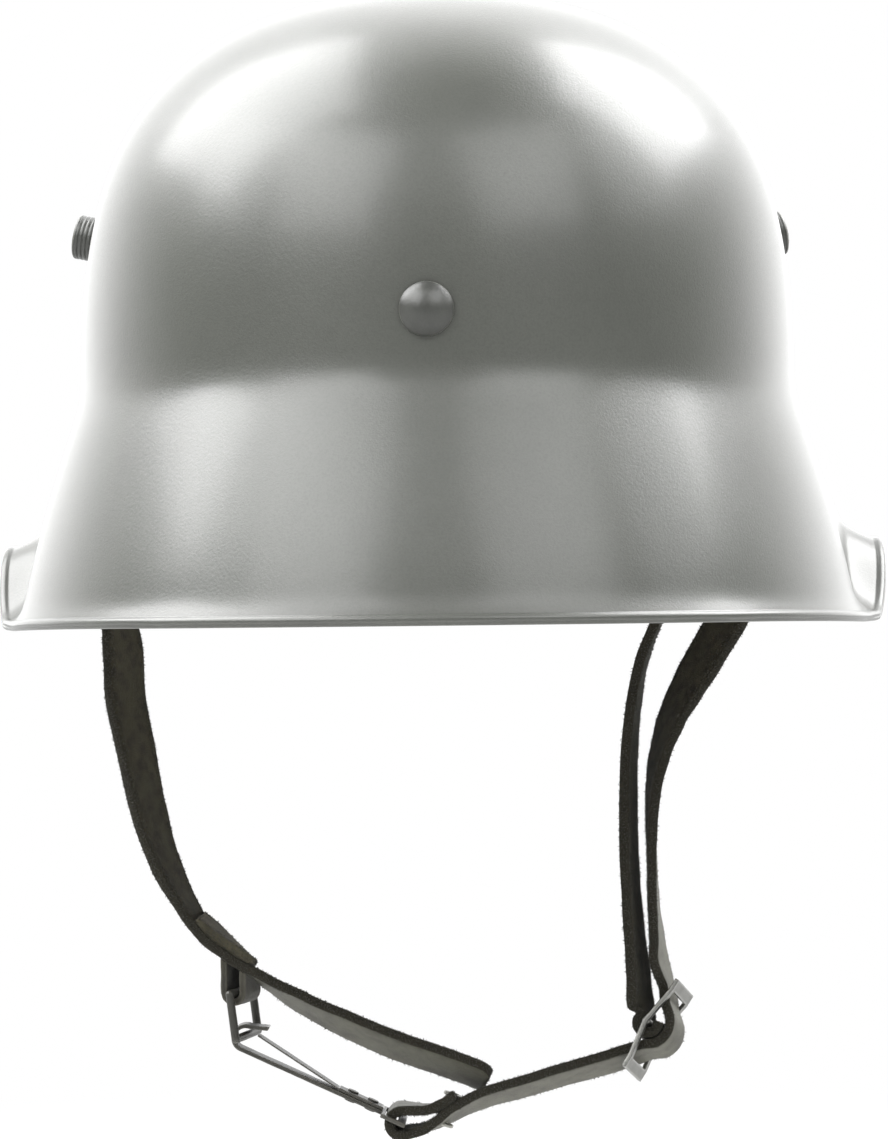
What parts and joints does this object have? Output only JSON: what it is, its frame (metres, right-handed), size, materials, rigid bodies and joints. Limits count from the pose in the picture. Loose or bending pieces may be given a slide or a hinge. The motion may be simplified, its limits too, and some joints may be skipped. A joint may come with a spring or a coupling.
{
  "type": "steel combat helmet",
  "caption": "Deep steel helmet shell with visor, flared neck guard and hollow side lugs, padded leather liner, and leather chin strap with three-bar slide and sprung hook clip",
  "frame": {"origin": "head seat: the liner band's centre, level with the three liner rivets", "axes": "visor points -Y, wearer's left is +X, crown is +Z"},
  "size_m": [0.2604, 0.3027, 0.3293],
  "materials": {
    "shell_paint": "satin grey-green field paint",
    "lug_paint": "the shell's paint, a little rubbed",
    "band_paint": "dull dark primer",
    "bare_steel": "dull bare steel",
    "ring_steel": "dark worn steel wire",
    "clip_steel": "dark pressed steel, bright where it rubs",
    "buckle_steel": "satin steel",
    "stud_steel": "dull flat rivet heads",
    "strap_leather": "aged leather, grey-green grain side and rough brown flesh side",
    "suede_leather": "olive-brown suede",
    "pad_leather": "tan sheepskin leather",
    "cushion_cloth": "plain undyed cotton cloth",
    "cord_cotton": "plain cotton string"
  },
  "bodies": {
    "helmet": {"shell": "shell_paint", "left_vent_lug": "lug_paint", "right_vent_lug": "lug_paint", "left_lug_washer": "bare_steel", "right_lug_washer": "bare_steel", "rear_liner_rivet": "lug_paint", "rear_rivet_washer": "bare_steel", "front_left_liner_rivet": "lug_paint", "front_left_rivet_washer": "bare_steel", "front_right_liner_rivet": "lug_paint", "front_right_rivet_washer": "bare_steel", "liner_band": "band_paint", "front_pad": "pad_leather", "rear_left_pad": "pad_leather", "rear_right_pad": "pad_leather", "front_cushion": "cushion_cloth", "rear_left_cushion": "cushion_cloth", "rear_right_cushion": "cushion_cloth", "pad_rivets": "bare_steel", "crown_cord": "cord_cotton", "left_dring_tab": "band_paint", "right_dring_tab": "band_paint", "tab_rivets": "bare_steel"},
    "left_dring_body": {"left_dring": "ring_steel"},
    "right_dring_body": {"right_dring": "ring_steel"},
    "left_chinstrap": {"left_strap": "strap_leather", "strap_patch": "suede_leather", "ring_loop": "strap_leather"},
    "right_chinstrap": {"right_strap": "strap_leather", "strap_stud": "stud_steel", "clip_body": "clip_steel", "clip_backing": "clip_steel", "clip_rivets": "clip_steel"},
    "hook_ring_body": {"hook_ring": "ring_steel"},
    "clip_gate_body": {"clip_gate": "clip_steel"},
    "buckle_body": {"buckle": "buckle_steel"}
  },
  "joints": [
    {"name": "left_dring_swing", "type": "hinge", "parent": "helmet", "child": "left_dring_body", "pos_m": [0.0977, 0, -0.043], "axis": [0, 1, 0], "range_deg": [-3, 3]},
    {"name": "right_dring_swing", "type": "hinge", "parent": "helmet", "child": "right_dring_body", "pos_m": [-0.0977, 0, -0.043], "axis": [0, 1, 0], "range_deg": [-3, 3]},
    {"name": "right_strap_swing", "type": "hinge", "parent": "helmet", "child": "right_chinstrap", "pos_m": [0, 0, -0.043], "axis": [1, 0, 0], "range_deg": [-27, 27]},
    {"name": "left_strap_swing", "type": "hinge", "parent": "helmet", "child": "left_chinstrap", "pos_m": [0, 0, -0.043], "axis": [1, 0, 0], "range_deg": [-27, 27]},
    {"name": "hook_ring_tilt", "type": "hinge", "parent": "left_chinstrap", "child": "hook_ring_body", "pos_m": [0.0593, 0, -0.18892], "axis": [0.2569, 0.9659, -0.0311], "range_deg": [-3, 3]},
    {"name": "clip_gate_press", "type": "hinge", "parent": "right_chinstrap", "child": "clip_gate_body", "pos_m": [0.03106, 0, -0.21743], "axis": [0, 1, 0], "range_deg": [0, 6], "stiffness_Nm_per_rad": 0.6, "springref_deg": -2.86},
    {"name": "buckle_tilt", "type": "hinge", "parent": "right_chinstrap", "child": "buckle_body", "pos_m": [-0.05996, 0, -0.20062], "axis": [0.2156, 0.9305, 0.296], "range_deg": [-3, 3]}
  ],
  "couplings": [
    {"joint": "left_strap_swing", "follows": "right_strap_swing", "ratio": 1}
  ]
}
